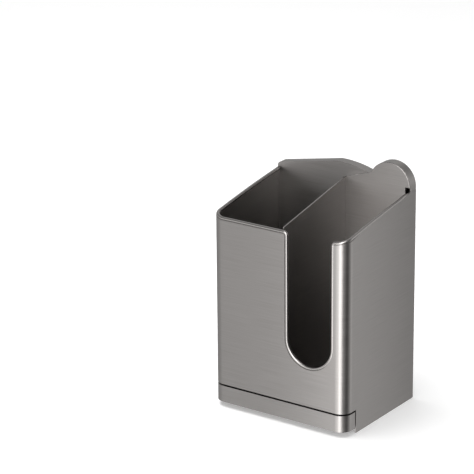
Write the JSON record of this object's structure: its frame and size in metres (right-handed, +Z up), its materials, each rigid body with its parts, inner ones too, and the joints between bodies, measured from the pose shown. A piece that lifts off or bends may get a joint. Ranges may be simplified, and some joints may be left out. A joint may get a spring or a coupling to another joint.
{
  "type": "cutlery drainer",
  "caption": "Free-standing or wall-hung cutlery drainer of bent steel sheet with two compartments, a front cut-out, a wavy raised back and a drip tray that slides forward.",
  "frame": {"origin": "middle of the footprint at the height of the worktop", "axes": "+Z up, -Y towards the front with the cut-out, +X to the right seen from the front"},
  "size_m": [0.12, 0.097, 0.19],
  "materials": {
    "satin_steel": "satin"
  },
  "bodies": {
    "holder": {"outer_shell": "satin_steel", "rear_panel": "satin_steel", "inner_back": "satin_steel", "divider_liner": "satin_steel", "drain_floor": "satin_steel", "left_runner": "satin_steel", "right_runner": "satin_steel"},
    "tray": {"tray_front": "satin_steel", "tray_pan": "satin_steel"}
  },
  "joints": [
    {"name": "tray_slide", "type": "slide", "parent": "holder", "child": "tray", "axis": [0, -1, 0], "range_m": [0, 0.08]}
  ]
}
